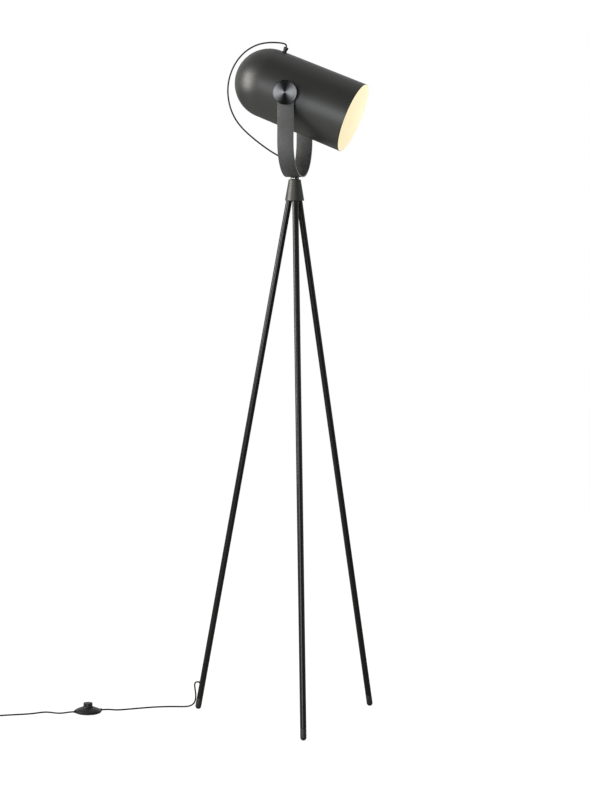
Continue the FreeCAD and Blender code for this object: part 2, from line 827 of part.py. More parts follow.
def in_head(axial, height):
    """Point in the head's upright middle plane, by its place along and above the head's axis."""
    return head_frame.multVec(vector(height, 0, axial))


lead("lead_in_head", [
    in_head(-d.gland_back, cord_start),
    in_head(-d.gland_back, wall_at_gland - 14),
    in_head(-d.gland_back - 5, wall_at_gland - 30),
    in_head(-d.gland_back - 17, wall_at_gland - 43),
    in_head(-d.gland_back - 30, wall_at_gland - 55),
    in_head(-d.gland_back - 36, wall_at_gland - 70),
    in_head(-d.gland_back - 28, 0),
    in_head(holder_back + d.holder_wall + 3, 0),
])


# ---------------------------------------------------------------- free lead at the head

def beside_pivot(along, height):
    """Point in the yoke's upright middle plane, from the tilt axis."""
    return yoke_frame.multVec(vector(along, 0, height))


loop_route = [
    (-25.8, 115.0), (-42.0, 116.6), (-62.0, 115.8), (-84.0, 112.3), (-104.0, 104.2),
    (-121.0, 92.4), (-135.5, 76.6), (-146.8, 57.6), (-154.2, 37.0), (-157.6, 15.0),
    (-156.6, -7.5), (-151.4, -30.0), (-142.0, -51.2), (-128.2, -70.2), (-110.6, -87.2),
    (-90.6, -103.2), (-69.4, -118.6), (-46.6, -133.0), (-22.4, -144.8), (-6.5, -153.4),
]
bushing_top = float(cord_seat) - float(pivot_height)
lead("lead_loop",
     [in_head(-d.gland_back, cord_start), in_head(-d.gland_back, cord_start + 9)]
     + [beside_pivot(along, height) for along, height in loop_route]
     + [beside_pivot(0, bushing_top + 11), beside_pivot(0, bushing_top)])


# ---------------------------------------------------------------- foot switch

switch_centre = vector(d.switch_x, tripod_back + d.switch_back, 0)
to_lamp = unit(d.switch_turn)
switch_frame = frame(switch_centre, to_lamp, UP)
rim = d.switch_width / 2
base_floor = d.switch_wall
entry_hole = d.relief_width + 2 * d.slip
cover_roof = d.switch_cover_top - d.switch_wall
button_hole = d.button_width / 2 + d.air

base = new_body("switch_base")
revolve(base, [
    (0, 0),
    (d.switch_foot_width / 2, 0),
    (rim - 1, 2.4),
    (rim, d.switch_seam - 1),
    (rim, d.switch_seam),
    (rim - d.switch_wall, d.switch_seam),
    (rim - d.switch_wall, 3.2),
    (d.switch_foot_width / 2, base_floor),
    (0, base_floor),
])
finish(base, "switch_base", switch_frame)
cover = turned("switch_cover", switch_frame, [
    (rim, d.switch_seam),
    (rim - 0.8, d.switch_seam + 1.6),
    (d.switch_crown, "right"),
    (d.switch_collar_width / 2 + 1.2, d.switch_cover_top - 1.6),
    (d.switch_collar_width / 2, d.switch_cover_top),
    (button_hole, d.switch_cover_top),
    (button_hole, cover_roof - 0.6),
    (d.switch_crown - d.switch_wall, "left"),
    (rim - 0.8 - d.switch_wall, d.switch_seam + 0.2),
    (rim - d.switch_wall, d.switch_seam),
])
entry_tools = {}
for piece in (base, cover):
    entry_tools[piece.Name] = primitive(
        "Cylinder", f"{piece.Name}_entries",
        frame(switch_frame.multVec(vector(-d.relief_reach, 0, d.switch_seam)), UP, to_lamp),
        Radius=entry_hole / 2, Height=2 * d.relief_reach)
cut_by("switch_base", base, [entry_tools[base.Name]])
cut_by("switch_cover", cover, [entry_tools[cover.Name]])

flange_top = cover_roof - d.button_slack
flange_foot = flange_top - d.button_flange
button_roof = d.button_top - d.button_wall
turned("switch_button", switch_frame, [
    (d.button_width / 2 - d.button_wall, flange_foot),
    (button_hole + d.button_lip, flange_foot),
    (button_hole + d.button_lip, flange_top),
    (d.button_width / 2, flange_top),
    (d.button_width / 2, d.button_top - d.button_edge),
    (d.button_edge, "right"),
    (d.button_width / 2 - d.button_edge, d.button_top),
    (0, d.button_top),
    (0, button_roof),
    (d.button_width / 2 - d.button_wall, button_roof),
])
block_top = flange_foot - d.button_travel - d.button_rest
contact_block = primitive("Box", "contact_block", shifted(
    switch_frame, x=-d.block_length / 2, y=-d.block_width / 2, z=base_floor),
    Length=d.block_length, Width=d.block_width, Height=block_top - base_floor)
finish(contact_block, "switch_contact_block")
ring("switch_spring", switch_frame, d.spring_width / 2 - d.spring_wall, d.spring_width / 2,
     block_top, button_roof - d.turning_gap)

for side, direction in (("lamp", 1), ("plug", -1)):
    outward = to_lamp * direction
    ring(f"switch_relief_{side}", frame(switch_frame.multVec(vector(0, 0, d.switch_seam)), UP, outward),
         cord_hole, d.relief_width / 2, d.relief_reach - d.relief_length, d.relief_reach)
tails = [primitive("Cylinder", f"tail_{side}",
                   frame(switch_frame.multVec(vector(start, 0, d.switch_seam)), UP, to_lamp),
                   Radius=d.cord_width / 2, Height=d.relief_reach - d.block_length / 2)
         for side, start in (("lamp", d.block_length / 2), ("plug", -d.relief_reach))]
lead_in_switch = doc.addObject("Part::Compound", "lead_in_switch")
lead_in_switch.Links = tails
finish(lead_in_switch, "lead_in_switch")


def beside_foot(x, y, z):
    """Point on or near the floor, counted from below the left foot."""
    return axis_foot + unit(leg_azimuth["left"]) * float(d.foot_circle) + vector(x, y, z)


def beside_switch(x, y, z):
    """Point on or near the floor, counted from the middle of the switch."""
    return switch_centre + vector(x, y, z)


lying = float(d.cord_width) / 2
relief_lamp = switch_frame.multVec(vector(d.relief_reach, 0, d.switch_seam))
relief_plug = switch_frame.multVec(vector(-d.relief_reach, 0, d.switch_seam))


def beside_left_leg(distance, height):
    """Point in the left leg's upright plane, by its distance from the tripod's axis."""
    return axis_foot + unit(leg_azimuth["left"]) * float(distance) + UP * float(height)


lead("lead_to_switch", [
    left.multVec(vector(grommet_outer, 0, d.exit_height)),
    left.multVec(vector(grommet_outer + 7.2, 0, d.exit_height)),
    beside_left_leg(242.2, 58.4),
    beside_left_leg(240.8, 46.6),
    beside_left_leg(238.6, 33.4),
    beside_left_leg(239.0, 20.0),
    beside_left_leg(244.6, 9.4),
    beside_foot(-21.6, 11.5, 3.4),
    beside_foot(-36.1, 17.4, lying),
    beside_foot(-55.1, 20.8, lying),
    beside_foot(-77.1, 21.4, lying),
    beside_foot(-100.1, 18.8, lying),
    beside_foot(-123.1, 13.2, lying),
    beside_foot(-146.1, 5.6, lying),
    beside_foot(-168.1, -1.4, lying),
    beside_foot(-183.1, -5.2, lying),
    beside_foot(-195.1, -8.4, 2.6),
    relief_lamp + to_lamp * 14,
    relief_lamp,
])


# the spare length is wound into a coil of two layers: in along the floor, up, and out on top
coil_centre = vector(d.coil_x, tripod_back + d.coil_back, 0)
coil_angle = 2 * math.pi * float(d.coil_turns)
coil_step = float(d.coil_step)
coil_inner = float(d.coil_radius) - coil_step * (coil_angle / 2 - math.pi / 4) / (2 * math.pi)


def coil_point(angle):
    """Middle of the lead after an angle of winding, clockwise seen from above."""
    past_middle = angle - coil_angle / 2
    if abs(past_middle) < math.pi / 2:
        wound = past_middle ** 2 / math.pi + math.pi / 4
        layer = (1 + math.sin(past_middle)) / 2
    else:
        wound = abs(past_middle)
        layer = 1 if past_middle > 0 else 0
    radius = coil_inner + coil_step * (wound - math.pi / 4) / (2 * math.pi)
    turn = -math.pi / 2 - angle
    return coil_centre + vector(
        radius * math.cos(turn), radius * math.sin(turn), lying + coil_step * layer)


def coil_direction(angle):
    step = 1e-4
    return (coil_point(angle + step) - coil_point(angle - step)).normalize()


def biarc(start, leave, end, arrive):
    """Two arcs that meet tangentially, from start along leave to end along arrive."""
    chord, both = end - start, leave + arrive
    spread = 2 * (1 - leave.dot(arrive))
    along = chord.dot(both)
    reach = (math.sqrt(along ** 2 + spread * chord.dot(chord)) - along) / spread
    middle = (start + end + (leave - arrive) * reach) * 0.5
    meet = (middle - start).normalize()
    turned_on = meet * (2 * leave.dot(meet)) - leave
    return [bend_arc(start, leave, middle).toShape(), bend_arc(middle, turned_on, end).toShape()]


def least_gap(points, apart, width):
    """Least free distance between stretches of a lead that are some points apart."""
    nearest = min((one - other).Length
                  for index, one in enumerate(points) for other in points[index + apart:])
    return nearest - width


QUARTER = math.pi / 2
quarters = round(coil_angle / QUARTER)
coil_start = coil_point(0) - coil_direction(0) * float(d.cord_width)
coil_end = coil_point(coil_angle) + coil_direction(coil_angle) * float(d.cord_width)
winding = [Part.LineSegment(coil_start, coil_point(0)).toShape()]
for quarter in range(quarters):
    first, second = quarter * QUARTER, (quarter + 1) * QUARTER
    winding += biarc(coil_point(first), coil_direction(first),
                     coil_point(second), coil_direction(second))
winding.append(Part.LineSegment(coil_point(coil_angle), coil_end).toShape())
swept("lead_coil", winding, coil_start, coil_direction(0))
samples = [coil_point(coil_angle * index / 800) for index in range(801)]
print(f"lead_coil: least gap {least_gap(samples, 60, float(d.cord_width)):.2f}")

lead("lead_past_switch", [
    relief_plug,
    relief_plug - to_lamp * 14,
    beside_switch(-59.0, -10.0, 3.0),
    beside_switch(-72.0, -3.0, lying),
    beside_switch(-82.0, 5.0, lying),
    beside_switch(-95.0, 11.5, lying),
    beside_switch(-108.0, 8.5, lying),
    beside_switch(-122.0, -0.5, lying),
    beside_switch(-140.0, -7.0, lying),
    beside_switch(-161.0, -10.0, lying),
    beside_switch(-184.0, -14.0, lying),
    beside_switch(-206.0, -18.8, lying),
    coil_start - coil_direction(0) * 18,
    coil_start,
])

# the plug lies flat on the floor beyond the coil
plug_way = unit(80)
tail_route = [coil_end, coil_end + coil_direction(coil_angle) * 9, coil_end + vector(1.0, 19.0, 0.5),
              coil_end + vector(2.5, 29.0, d.plug_height / 2 - lying - coil_step)]
tail_end = tail_route[-1] + plug_way * 9
lead("lead_to_plug", tail_route + [tail_end])
plug_frame = frame(tail_end, UP, plug_way)
plug_back = d.plug_relief_length
plug_front = plug_back + d.plug_length
turned("plug_relief", plug_frame, [
    (0, 0),
    (d.plug_relief_tip / 2, 0),
    (d.plug_relief_width / 2, d.plug_relief_length),
    (0, d.plug_relief_length),
])
plug = new_body("plug_body")
pad(plug, [
    (-d.plug_nose_width / 2, plug_back),
    (d.plug_nose_width / 2, plug_back),
    (d.plug_width / 2, plug_back + d.plug_length * 0.45),
    (d.plug_width / 2, plug_front),
    (-d.plug_width / 2, plug_front),
    (-d.plug_width / 2, plug_back + d.plug_length * 0.45),
], "YZ_Plane", d.plug_height)
doc.recompute()
fillet(plug, [f"Edge{index}" for index, edge in enumerate(plug.Shape.Edges, start=1)
              if min(vertex.Z for vertex in edge.Vertexes) < float(plug_front) - 0.01], d.plug_round)
finish(plug, "plug_body", plug_frame)
pins = [primitive("Cylinder", f"pin_{index}", shifted(plug_frame, y=side * d.pin_spacing / 2, z=plug_front),
                  Radius=d.pin_width / 2, Height=d.pin_length)
        for index, side in enumerate((-1, 1))]
plug_pins = doc.addObject("Part::Compound", "plug_pins")
plug_pins.Links = pins
finish(plug_pins, "plug_pins")

doc.recompute()
for item in doc.Objects:
    if "Invalid" in item.State or "Error" in item.State:
        raise RuntimeError(f"{item.Label} failed")

os.makedirs("parts", exist_ok=True)
for item in parts:
    shape = item.Shape
    if shape.isNull() or not shape.isValid():
        raise RuntimeError(f"{item.Label} has no valid shape")
    shape.exportStep(f"parts/{item.Label}.step")
print(len(parts), "pieces written")
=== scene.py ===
import json
import math

import bmesh
import bpy
from mathutils import Matrix, Vector


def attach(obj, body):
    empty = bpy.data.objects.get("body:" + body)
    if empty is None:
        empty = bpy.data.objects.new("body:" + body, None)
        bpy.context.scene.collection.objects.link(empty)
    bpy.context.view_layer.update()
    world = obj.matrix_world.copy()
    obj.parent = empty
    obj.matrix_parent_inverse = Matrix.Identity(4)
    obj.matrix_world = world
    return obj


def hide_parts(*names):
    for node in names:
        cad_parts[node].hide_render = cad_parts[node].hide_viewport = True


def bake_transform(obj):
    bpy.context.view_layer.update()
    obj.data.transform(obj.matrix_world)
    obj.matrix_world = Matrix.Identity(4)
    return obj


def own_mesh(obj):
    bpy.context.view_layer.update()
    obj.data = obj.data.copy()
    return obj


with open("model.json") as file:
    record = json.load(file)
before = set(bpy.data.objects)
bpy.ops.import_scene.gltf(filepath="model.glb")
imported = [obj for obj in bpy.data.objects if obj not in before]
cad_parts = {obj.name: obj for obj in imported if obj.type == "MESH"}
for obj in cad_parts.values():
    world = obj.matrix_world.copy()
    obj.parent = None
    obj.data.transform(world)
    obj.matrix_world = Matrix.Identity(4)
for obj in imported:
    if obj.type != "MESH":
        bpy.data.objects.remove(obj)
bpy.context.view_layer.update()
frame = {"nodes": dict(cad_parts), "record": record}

MM = 0.001
scene = bpy.context.scene
scene.view_settings.view_transform = "Standard"


# ---------------------------------------------------------------- places

def direction(azimuth, rise=0.0):
    """Unit vector at an azimuth and a rise above the horizon, in degrees."""
    a, r = math.radians(azimuth), math.radians(rise)
    return Vector((math.cos(r) * math.cos(a), math.cos(r) * math.sin(a), math.sin(r)))


def place(origin, x_axis, z_axis):
    """Matrix whose local X and Z run along the given directions."""
    y_axis = z_axis.cross(x_axis)
    turn = Matrix((x_axis, y_axis, z_axis)).transposed().to_4x4()
    return Matrix.Translation(origin) @ turn


# Lengths are in millimetres and angles in degrees; places and directions are in metres.
UP = Vector((0, 0, 1))
AXIS_FOOT = Vector((0, 58 * MM, 0))     # where the tripod's axis meets the floor
HUB_TOP, PIVOT_HEIGHT = 1223.5, 1413.1
STRAP_WALL, TURNING_GAP = 3.0, 0.1
YOKE_AZIMUTH, HEAD_DIP = -21.6, 21.6
PIVOT = AXIS_FOOT + UP * PIVOT_HEIGHT * MM

YOKE = place(PIVOT, direction(YOKE_AZIMUTH), UP)
HEAD_AXIS = direction(YOKE_AZIMUTH, -HEAD_DIP)
HEAD_UP = direction(YOKE_AZIMUTH, 90 - HEAD_DIP)
HEAD = place(PIVOT, HEAD_UP, HEAD_AXIS)
NEAR_SIDE = HEAD_AXIS.cross(HEAD_UP)
SIDES = {"near": place(PIVOT, HEAD_UP, NEAR_SIDE), "far": place(PIVOT, HEAD_UP, -NEAR_SIDE)}

LEG_AZIMUTH = {"front": -90.0, "right": 30.0, "left": 150.0}
FOOT_RADIUS, FOOT_FLAT = 7.0, 2.5       # of the rounded end and of its flat on the floor
FOOT_CENTRE = math.sqrt(FOOT_RADIUS ** 2 - FOOT_FLAT ** 2)
FOOT_CIRCLE, LEGS_MEET = 232.0, 1247.0  # radius at the feet, and height where the legs' lines meet
LEAN = math.atan2(FOOT_CIRCLE, LEGS_MEET - FOOT_CENTRE)


def leg_place(azimuth):
    """Origin at the centre of the rounded foot, Z up the leg, X away from the axis."""
    outward = direction(azimuth)
    upward = outward * -math.sin(LEAN) + UP * math.cos(LEAN)
    side = outward * math.cos(LEAN) + UP * math.sin(LEAN)
    return place(AXIS_FOOT + outward * FOOT_CIRCLE * MM + UP * FOOT_CENTRE * MM, side, upward)


LEGS = {name: leg_place(azimuth) for name, azimuth in LEG_AZIMUTH.items()}
TO_LAMP = direction(15)                 # at the foot switch, the way its lead comes from
SWITCH = place(Vector((-457, 148, 0)) * MM, TO_LAMP, UP)


def in_head(axial, height):
    return HEAD @ Vector((height * MM, 0, axial * MM))


def beside_pivot(along, height):
    return YOKE @ Vector((along * MM, 0, height * MM))


def by_left_leg(outward, along):
    return LEGS["left"] @ Vector((outward * MM, 0, along * MM))


def beside_left_leg(distance, height):
    return AXIS_FOOT + direction(LEG_AZIMUTH["left"]) * distance * MM + UP * height * MM


def beside_tripod(x, y, z):
    return AXIS_FOOT + Vector((x, y, z)) * MM


# ---------------------------------------------------------------- camera

camera_data = bpy.data.cameras.new("camera")
camera_data.lens = 109.784
camera_data.sensor_width = 36
camera = bpy.data.objects.new("camera", camera_data)
camera.location = (-0.66742, -5.30060, 1.17075)
camera.rotation_euler = [math.radians(turn) for turn in (85.46185, -0.46354, -7.11021)]
camera_data.clip_end = 60
scene.collection.objects.link(camera)
scene.camera = camera


# ---------------------------------------------------------------- finishes

def new_finish(name, colour, roughness, metallic=0.0, specular=0.5):
    finish = bpy.data.materials.new(name)
    finish.use_nodes = True
    shader = finish.node_tree.nodes["Principled BSDF"]
    shader.inputs["Base Color"].default_value = (*colour, 1)
    shader.inputs["Roughness"].default_value = roughness
    shader.inputs["Metallic"].default_value = metallic
    shader.inputs["Specular IOR Level"].default_value = specular
    return finish


def new_group(name, inputs, outputs):
    group = bpy.data.node_groups.new(name, "ShaderNodeTree")
    for label, kind, value in inputs:
        socket = group.interface.new_socket(label, in_out="INPUT", socket_type=f"NodeSocket{kind}")
        socket.default_value = value
    for label, kind in outputs:
        group.interface.new_socket(label, in_out="OUTPUT", socket_type=f"NodeSocket{kind}")
    return group, group.nodes.new("NodeGroupInput"), group.nodes.new("NodeGroupOutput")


def node(tree, kind, links=(), **settings):
    """A node with its settings, and its inputs linked from or set to what is given."""
    made = tree.nodes.new(f"ShaderNode{kind}")
    for key, value in settings.items():
        setattr(made, key, value)
    for key, source in dict(links).items():
        if isinstance(source, bpy.types.NodeSocket):
            tree.links.new(source, made.inputs[key])
        else:
            made.inputs[key].default_value = source
    return made


def maths(tree, operation, *values):
    """Result of a Math node for the given sockets or numbers."""
    return node(tree, "Math", dict(enumerate(values)), operation=operation).outputs[0]


def make_grain_group():
    """Fine grain of a sprayed or moulded skin: its height, and a mottled colour and roughness."""
    group, inlet, outlet = new_group("fine_grain", [
        ("Colour", "Color", (0.1, 0.1, 0.1, 1)), ("Roughness", "Float", 0.5),
        ("Grain per metre", "Float", 1200.0), ("Mottle", "Float", 0.15),
        ("Roughness spread", "Float", 0.06)],
        [("Colour", "Color"), ("Roughness", "Float"), ("Height", "Float")])
    where = node(group, "TexCoord").outputs["Object"]
    grain = node(group, "TexNoise", {"Vector": where, "Scale": inlet.outputs["Grain per metre"],
                                     "Detail": 2.0, "Roughness": 0.6})
    clouds = node(group, "TexNoise", {"Vector": where, "Scale": 14.0, "Detail": 3.0})
    speck = maths(group, "ADD", grain.outputs["Fac"], clouds.outputs["Fac"])
    swing = maths(group, "ADD", speck, -1.0)
    shade_by = maths(group, "MULTIPLY_ADD", swing, inlet.outputs["Mottle"], 1.0)
    tint = node(group, "VectorMath", {0: inlet.outputs["Colour"], "Scale": shade_by},
                operation="SCALE")
    rough = maths(group, "MULTIPLY_ADD", swing, inlet.outputs["Roughness spread"],
                  inlet.outputs["Roughness"])
    group.links.new(tint.outputs[0], outlet.inputs["Colour"])
    group.links.new(rough, outlet.inputs["Roughness"])
    group.links.new(grain.outputs["Fac"], outlet.inputs["Height"])
    return group


GRAIN = make_grain_group()


def grained(name, colour, roughness, grain, bump, metallic=0.0, specular=0.5, mottle=0.15,
            spread=0.06):
    """A finish with the fine grain on it; bump is the grain's depth in millimetres."""
    finish = new_finish(name, colour, roughness, metallic, specular)
    tree = finish.node_tree
    shader = tree.nodes["Principled BSDF"]
    skin = tree.nodes.new("ShaderNodeGroup")
    skin.node_tree = GRAIN
    skin.inputs["Colour"].default_value = (*colour, 1)
    skin.inputs["Roughness"].default_value = roughness
    skin.inputs["Grain per metre"].default_value = grain
    skin.inputs["Mottle"].default_value = mottle
    skin.inputs["Roughness spread"].default_value = spread
    relief = node(tree, "Bump", {"Height": skin.outputs["Height"], "Distance": bump * MM,
                                 "Strength": 1.0})
    tree.links.new(skin.outputs["Colour"], shader.inputs["Base Color"])
    tree.links.new(skin.outputs["Roughness"], shader.inputs["Roughness"])
    tree.links.new(relief.outputs["Normal"], shader.inputs["Normal"])
    return finish


def ringed(name, dark, light, roughness, centre, pitch, bump):
    """Metal faced in the lathe about the local Z of centre: fine grooves, and a painted highlight
    in wedges that mixes the base colour from dark towards light.

    Pitch is between grooves and bump is their depth, in millimetres."""
    finish = new_finish(name, dark, roughness, 1.0)
    tree = finish.node_tree
    shader = tree.nodes["Principled BSDF"]
    where = node(tree, "TexCoord").outputs["Object"]
    turned_to = node(tree, "Mapping", {"Vector": where, "Location": centre.translation,
                                       "Rotation": centre.to_euler()}, vector_type="TEXTURE")
    local = turned_to.outputs[0]
    # At scale 1 the Wave node goes through 20 radians in a metre.
    rings = node(tree, "TexWave", {"Vector": local, "Scale": 2 * math.pi / (20 * pitch * MM)},
                 wave_type="RINGS", rings_direction="Z")
    relief = node(tree, "Bump", {"Height": rings.outputs["Fac"], "Distance": bump * MM,
                                 "Strength": 1.0})
    # Painted highlight: the base colour goes towards light in two opposite wedges about the centre
    # and stays dark between them, rippled by the grooves.
    round_it = node(tree, "TexGradient", {"Vector": local}, gradient_type="RADIAL")
    twice = maths(tree, "MULTIPLY", round_it.outputs["Fac"], 4 * math.pi)
    painted_highlight_wedge = maths(tree, "MULTIPLY_ADD", maths(tree, "COSINE", twice), 0.5, 0.5)
    sharp = maths(tree, "POWER", painted_highlight_wedge, 1.7)
    ripple = maths(tree, "MULTIPLY_ADD", rings.outputs["Fac"], 0.25, 0.85)
    painted_sheen = maths(tree, "MULTIPLY", sharp, ripple)
    tint = node(tree, "Mix", {"Factor": painted_sheen, "A": (*dark, 1), "B": (*light, 1)},
                data_type="RGBA")
    tree.links.new(relief.outputs["Normal"], shader.inputs["Normal"])
    tree.links.new(tint.outputs["Result"], shader.inputs["Base Color"])
    return finish


# The shade's inside is white, with a warm emission that is painted light from the bulb.
inside_white_with_painted_glow = new_finish("white_inside_of_shade_with_painted_glow", (0.30, 0.28, 0.22), 0.6)
# The strap's narrow edges get a grey ten times lighter than its coat: a painted highlight along
# the edges.
strap_edge_painted_highlight = grained("strap_edge_painted_highlight_grey", (0.20, 0.20, 0.195), 0.45, 600, 0.02, specular=0.2)
FINISHES = {
    "shade_paint": grained("olive_black_paint", (0.0055, 0.0057, 0.0048), 0.42, 1500, 0.008,
                           specular=0.19, mottle=0.12),
    "frame_paint": grained("bronze_black_lacquer", (0.002, 0.002, 0.0017), 0.24, 900, 0.003,
                           specular=0.10, mottle=0.2),
    "strap_paint": grained("grained_grey_coat", (0.020, 0.020, 0.0198), 0.55, 260, 0.12,
                           specular=0.12, mottle=1.3, spread=0.2),
    "hub_metal": grained("satin_gunmetal", (0.019, 0.019, 0.017), 0.46, 900, 0.0006,
                         metallic=0.85),
    # The knobs' finish carries a painted highlight in wedges on their faces.
    "knob_metal": ringed("turned_black_chrome_with_painted_highlight", (0.0012, 0.0012, 0.0012),
                         (0.043, 0.043, 0.044), 0.34,
                         place(PIVOT, NEAR_SIDE.cross(UP), NEAR_SIDE), 1.1, 0.006),
    "bright_steel": grained("dark_nickel_plate", (0.06, 0.06, 0.056), 0.15, 500, 0.0004,
                            metallic=1.0),
    "zinc_steel": grained("zinc_plate", (0.40, 0.40, 0.39), 0.34, 800, 0.003, metallic=1.0),
    "foot_rubber": grained("olive_black_rubber", (0.004, 0.004, 0.0033), 0.5, 1300, 0.010,
                           specular=0.14),
    "black_plastic": grained("moulded_black", (0.002, 0.002, 0.002), 0.38, 1800, 0.006,
                             specular=0.14),
    "lead_sheath": grained("lead_sheath", (0.0015, 0.0015, 0.0015), 0.42, 1500, 0.003,
                           specular=0.1),
    "holder_plastic": grained("holder_black", (0.025, 0.025, 0.024), 0.50, 1500, 0.008),
    "contact_brass": grained("contact_brass", (0.62, 0.43, 0.16), 0.30, 700, 0.002, metallic=1.0),
    "lamp_opal": grained("opal_globe", (0.90, 0.86, 0.76), 0.35, 400, 0.002),
    "lamp_white": grained("lamp_body_white", (0.80, 0.79, 0.75), 0.45, 700, 0.004),
    "lamp_nickel": grained("lamp_cap_nickel", (0.55, 0.55, 0.53), 0.28, 600, 0.002, metallic=1.0),
}
# The bulb's globe glows as the lamp it is; the glow on the shade's inside is painted bulb light.
for finish, glow, strength in [(FINISHES["lamp_opal"], (1.0, 0.85, 0.60, 1), 0.6),
                               (inside_white_with_painted_glow, (1.0, 0.885, 0.60, 1), 0.71)]:
    shader = finish.node_tree.nodes["Principled BSDF"]
    shader.inputs["Emission Color"].default_value = glow
    shader.inputs["Emission Strength"].default_value = strength

for part in frame["record"]["subparts"]:
    carried = frame["nodes"][part["node"]]
    carried.data.materials.clear()
    carried.data.materials.append(FINISHES[part["material_slot"]])


# ---------------------------------------------------------------- making pieces

POLE = 1e-5         # radius of the ring that closes a turned piece on its axis


def deselect():
    if bpy.context.object and bpy.context.object.mode != "OBJECT":
        bpy.ops.object.mode_set(mode="OBJECT")
    bpy.ops.object.select_all(action="DESELECT")


def settle(piece, at, smooth=35):
    """Moves a piece modelled about the world's axes to its place, and settles it there."""
    piece.matrix_world = at
    deselect()
    piece.select_set(True)
    bpy.context.view_layer.objects.active = piece
    bpy.ops.object.transform_apply(location=True, rotation=True, scale=True)
    bpy.ops.object.shade_smooth_by_angle(angle=math.radians(smooth))


def clean_skin(piece):
    """Merges doubled points and turns every face outwards."""
    bpy.ops.object.mode_set(mode="EDIT")
    bpy.ops.mesh.select_all(action="SELECT")
    bpy.ops.mesh.remove_doubles(threshold=4e-6)
    bpy.ops.mesh.normals_make_consistent(inside=False)
    bpy.ops.object.mode_set(mode="OBJECT")


def turned(name, at, rings, slot, body, stands_for, sides=64, smooth=35):
    """A turned piece: a circle drawn out and widened ring by ring, each a (radius, height)."""
    deselect()
    radius, height = max(rings[0][0] * MM, POLE), rings[0][1] * MM
    bpy.ops.mesh.primitive_circle_add(vertices=sides, radius=radius, location=(0, 0, height))
    piece = bpy.context.object
    piece.name = name
    bpy.ops.object.transform_apply(location=True)
    bpy.ops.object.mode_set(mode="EDIT")
    bpy.ops.mesh.select_all(action="SELECT")
    for next_radius, next_height in rings[1:]:
        next_radius, next_height = max(next_radius * MM, POLE), next_height * MM
        bpy.ops.mesh.extrude_edges_move(
            TRANSFORM_OT_translate={"value": (0, 0, next_height - height)})
        grow = next_radius / radius
        bpy.ops.transform.resize(value=(grow, grow, 1), center_override=(0, 0, 0))
        radius, height = next_radius, next_height
    clean_skin(piece)
    piece.data.materials.append(FINISHES[slot])
    settle(piece, at, smooth)
    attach(piece, body)
    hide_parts(*stands_for)
    return piece


def open_skin(piece):
    """Opens a piece in edit mode and gives its skin."""
    deselect()
    bpy.context.view_layer.objects.active = piece
    bpy.ops.object.mode_set(mode="EDIT")
    return bmesh.from_edit_mesh(piece.data)


def bowed(start, end, bow, steps):
    """Points from start to end along a shallow bow, which stands out by bow to the right."""
    (x0, y0), (x1, y1) = start, end
    length = math.hypot(x1 - x0, y1 - y0)
    out = ((y1 - y0) / length, -(x1 - x0) / length)
    points = []
    for step in range(steps + 1):
        t = step / steps
        lift = 4 * bow * t * (1 - t)
        points.append((x0 + (x1 - x0) * t + out[0] * lift, y0 + (y1 - y0) * t + out[1] * lift))
    return points


def quarter(centre, radius, first, last, steps):
    """Points of (radius, height) on an arc about a centre, angles from the radius axis."""
    return [(centre[0] + radius * math.cos(math.radians(first + (last - first) * step / steps)),
             centre[1] + radius * math.sin(math.radians(first + (last - first) * step / steps)))
            for step in range(steps + 1)]


# ---------------------------------------------------------------- leads

LEAD_RADIUS = 1.8
LYING = LEAD_RADIUS         # height of the middle of a lead that lies on the floor


def middle_line(piece):
    """Points close together along a lead's middle."""
    depth, piece.data.bevel_depth = piece.data.bevel_depth, 0
    bpy.context.view_layer.update()
    bare = piece.evaluated_get(bpy.context.evaluated_depsgraph_get()).to_mesh()
    points = [vertex.co.copy() for vertex in bare.vertices]
    piece.data.bevel_depth = depth
    bpy.context.view_layer.update()
    return points


def lead(name, points, body, stands_for, **facts):
    """A free lead on one smooth curve with the route's points as its control points.

    For a lead between two bodies it is both of them, with the place where the bend starts and the
    one where it ends; these are not used, and the lead is only turned into a mesh where it lies."""
    curve = bpy.data.curves.new(name, "CURVE")
    curve.dimensions = "3D"
    curve.bevel_depth = LEAD_RADIUS * MM
    curve.bevel_resolution = 5
    curve.resolution_u = 8
    curve.use_fill_caps = True
    spline = curve.splines.new("NURBS")
    spline.points.add(len(points) - 1)
    for point, control in zip(points, spline.points):
        control.co = (*point, 1)
    spline.order_u = 3
    spline.use_endpoint_u = True
    piece = bpy.data.objects.new(name, curve)
    scene.collection.objects.link(piece)
    curve.materials.append(FINISHES["lead_sheath"])
    if isinstance(body, str):
        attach(piece, body)
    else:
        facts["path"] = middle_line(piece)
        deselect()
        piece.select_set(True)
        bpy.context.view_layer.objects.active = piece
        bpy.ops.object.convert(target="MESH")
        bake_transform(piece)
    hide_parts(*stands_for)


GLAND_BACK, CORD_START = 58.5, 83.0     # behind the tilt axis, and up from the head's axis
loop_route = [      # along the yoke's azimuth, and above the pivot
    (-25.0, 112.4), (-41.0, 114.9), (-62.0, 115.4), (-84.0, 112.3), (-104.0, 104.2),
    (-121.0, 92.4), (-135.5, 76.6), (-146.8, 57.6), (-154.2, 37.0), (-157.6, 15.0),
    (-156.6, -7.5), (-151.4, -30.0), (-142.0, -51.2), (-128.2, -70.2), (-110.6, -87.2),
    (-90.6, -103.2), (-69.4, -118.6), (-46.6, -133.0), (-22.4, -144.8), (-6.5, -153.4),
]
# On the hub stand the collar with its gap, the strap, a gap, the washer and the nut.
NUT_TOP = HUB_TOP + 5.1 + STRAP_WALL + TURNING_GAP + 1.5 + 4.5 - PIVOT_HEIGHT
lead("loop_lead",
     [in_head(-GLAND_BACK, CORD_START), in_head(-GLAND_BACK, CORD_START + 9)]
     + [beside_pivot(along, height) for along, height in loop_route]
     + [beside_pivot(0, NUT_TOP + 11), beside_pivot(0, NUT_TOP)],
     ("yoke", "head", beside_pivot(40, NUT_TOP + 18), in_head(-GLAND_BACK, CORD_START)),
     ["lead_loop"], length=0.469, far_end="object", stiffness="medium", lay="loose")

